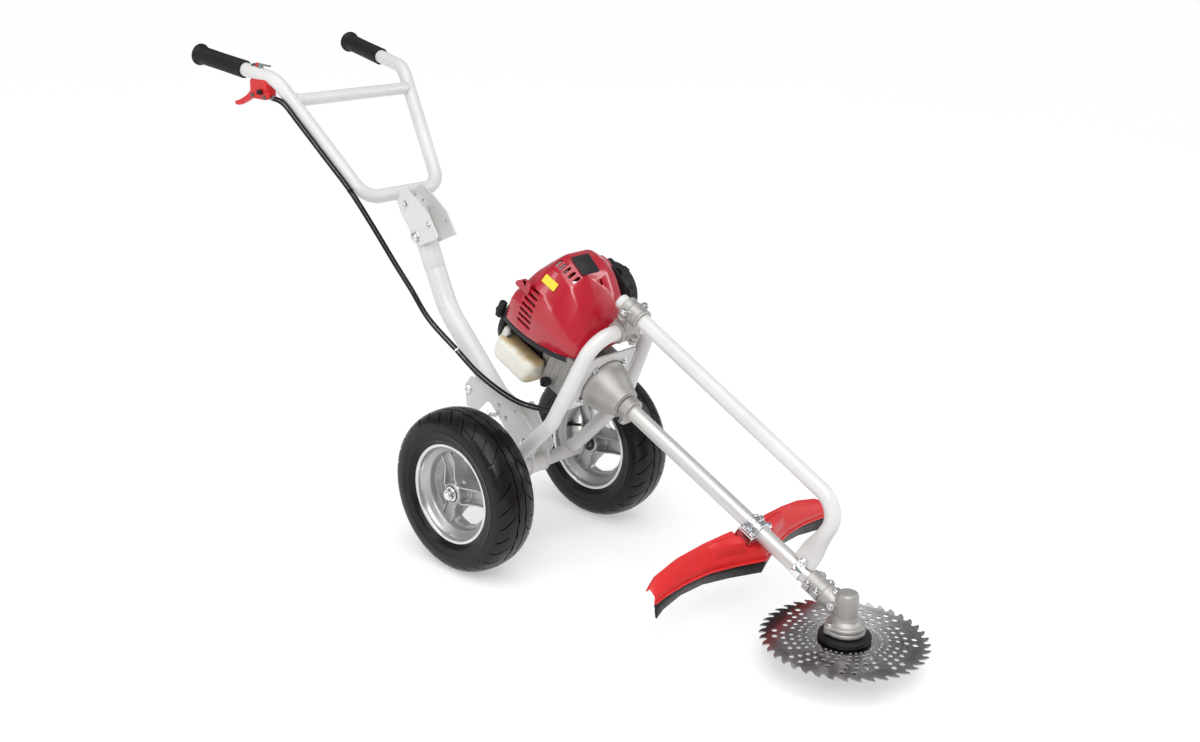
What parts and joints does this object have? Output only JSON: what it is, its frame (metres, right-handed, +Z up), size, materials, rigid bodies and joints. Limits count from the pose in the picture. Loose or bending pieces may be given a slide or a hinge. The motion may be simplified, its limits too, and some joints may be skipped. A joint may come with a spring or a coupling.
{
  "type": "wheeled brush cutter",
  "caption": "Two-wheeled walk-behind brush cutter with an engine on a tubular frame, a sloping drive tube, a toothed disc blade, a rear guard and a folding handlebar.",
  "frame": {"origin": "on the ground, in the middle of the bounding box", "axes": "-Y forward to the blade, +X to the operator's left when standing at the handlebar facing the blade, +Z up"},
  "size_m": [0.4454, 1.4864, 0.8081],
  "materials": {
    "white_paint": "satin silver-white powder coat",
    "cast_aluminium": "sand-cast",
    "brushed_tube": "brushed",
    "steel": "ground",
    "zinc": "bright zinc plate",
    "tyre": "matt",
    "grip_rubber": "matt",
    "black_plastic": "satin",
    "red_cover": "gloss",
    "red_guard": "satin",
    "cream_tank": "translucent satin"
  },
  "bodies": {
    "chassis": {"axle_bracket": "white_paint", "axle_tube": "white_paint", "front_hoop": "white_paint", "top_tube": "white_paint", "engine_plate": "white_paint", "cross_clamp": "cast_aluminium", "clutch_housing": "cast_aluminium", "gear_case": "cast_aluminium", "crankcase": "cast_aluminium", "cylinder": "cast_aluminium", "carburettor": "cast_aluminium", "drive_tube": "brushed_tube", "axle": "steel", "muffler": "steel", "wheel_nut_left": "zinc", "wheel_nut_right": "zinc", "guard_saddle": "zinc", "guard_strap": "zinc", "foot_band": "zinc", "tilt_bolt": "zinc", "guard_skirt": "grip_rubber", "throttle_cable_lower": "grip_rubber", "switch_cable_lower": "grip_rubber", "recoil_starter": "black_plastic", "air_cleaner": "black_plastic", "engine_cover": "red_cover", "guard": "red_guard", "fuel_tank": "cream_tank"},
    "wheel_left": {"tyre_left": "tyre", "rim_left": "cast_aluminium"},
    "wheel_right": {"tyre_right": "tyre", "rim_right": "cast_aluminium"},
    "drive_shaft": {"drive_shaft": "steel", "clutch_drum": "steel"},
    "blade_spindle": {"spindle": "steel", "blade_holder": "black_plastic", "blade": "steel", "blade_nut": "zinc"},
    "glide_cup": {"glide_cup": "black_plastic"},
    "crankshaft": {"crankshaft": "steel", "flywheel": "cast_aluminium"},
    "piston": {"piston": "cast_aluminium"},
    "fuel_cap": {"fuel_cap": "black_plastic"},
    "oil_filler_cap": {"oil_filler_cap": "black_plastic"},
    "recoil_handle": {"recoil_handle": "black_plastic"},
    "choke_lever": {"choke_lever": "black_plastic"},
    "column": {"column_tube": "white_paint", "column_plate_left": "white_paint", "column_plate_right": "white_paint", "fold_bolt": "zinc", "throttle_cable_upper": "grip_rubber", "switch_cable_upper": "grip_rubber"},
    "handlebar": {"handlebar": "white_paint", "hinge_plate_left": "white_paint", "hinge_plate_right": "white_paint", "grip_left": "grip_rubber", "grip_right": "grip_rubber", "throttle_block": "red_guard"},
    "throttle_trigger": {"throttle_trigger": "black_plastic"},
    "stop_switch": {"stop_switch": "black_plastic"}
  },
  "joints": [
    {"name": "wheel_left_spin", "type": "hinge", "parent": "chassis", "child": "wheel_left", "pos_m": [0.166, 0.03778, 0.14], "axis": [1, 0, 0], "continuous": true},
    {"name": "wheel_right_spin", "type": "hinge", "parent": "chassis", "child": "wheel_right", "pos_m": [-0.166, 0.03778, 0.14], "axis": [1, 0, 0], "continuous": true},
    {"name": "blade_spin", "type": "hinge", "parent": "chassis", "child": "blade_spindle", "pos_m": [0, -0.61572, 0.05], "axis": [0, 0, 1], "continuous": true},
    {"name": "drive_shaft_spin", "type": "hinge", "parent": "chassis", "child": "drive_shaft", "pos_m": [0, -0.11422, 0.32846], "axis": [0, 0.9041, 0.4274], "continuous": true},
    {"name": "glide_cup_spin", "type": "hinge", "parent": "chassis", "child": "glide_cup", "pos_m": [0, -0.61572, 0.02], "axis": [0, 0, 1], "continuous": true},
    {"name": "crankshaft_spin", "type": "hinge", "parent": "chassis", "child": "crankshaft", "pos_m": [0, -0.11422, 0.32846], "axis": [0, 0.9041, 0.4274], "continuous": true},
    {"name": "piston_slide", "type": "slide", "parent": "chassis", "child": "piston", "axis": [0, -0.4274, 0.9041], "range_m": [-0.012, 0.012]},
    {"name": "fuel_cap_turn", "type": "hinge", "parent": "chassis", "child": "fuel_cap", "pos_m": [0.07, 0.03677, 0.36001], "axis": [1, 0, 0], "range_deg": [0, 180]},
    {"name": "oil_cap_turn", "type": "hinge", "parent": "chassis", "child": "oil_filler_cap", "pos_m": [-0.055, -0.04364, 0.32422], "axis": [1, 0, 0], "range_deg": [0, 180]},
    {"name": "recoil_pull", "type": "slide", "parent": "chassis", "child": "recoil_handle", "axis": [-0.8, 0, 0.6], "range_m": [0, 0.4], "stiffness_N_per_m": 15, "springref_m": -0.05},
    {"name": "choke_turn", "type": "hinge", "parent": "chassis", "child": "choke_lever", "pos_m": [0.0905, -0.08588, 0.43698], "axis": [1, 0, 0], "range_deg": [0, 55]},
    {"name": "column_tilt", "type": "hinge", "parent": "chassis", "child": "column", "pos_m": [0, 0.03858, 0.1801], "axis": [1, 0, 0], "range_deg": [-10, 10]},
    {"name": "handlebar_fold", "type": "hinge", "parent": "column", "child": "handlebar", "pos_m": [0, 0.31888, 0.4964], "axis": [1, 0, 0], "range_deg": [0, 100]},
    {"name": "throttle_squeeze", "type": "hinge", "parent": "handlebar", "child": "throttle_trigger", "pos_m": [-0.15, 0.59178, 0.74], "axis": [1, 0, 0], "range_deg": [0, 26], "stiffness_Nm_per_rad": 0.8, "springref_deg": -14.32},
    {"name": "stop_switch_slide", "type": "slide", "parent": "handlebar", "child": "stop_switch", "axis": [0, 1, 0], "range_m": [-0.003, 0.003]}
  ],
  "couplings": [
    {"joint": "drive_shaft_spin", "follows": "blade_spin", "ratio": -1.4286}
  ]
}
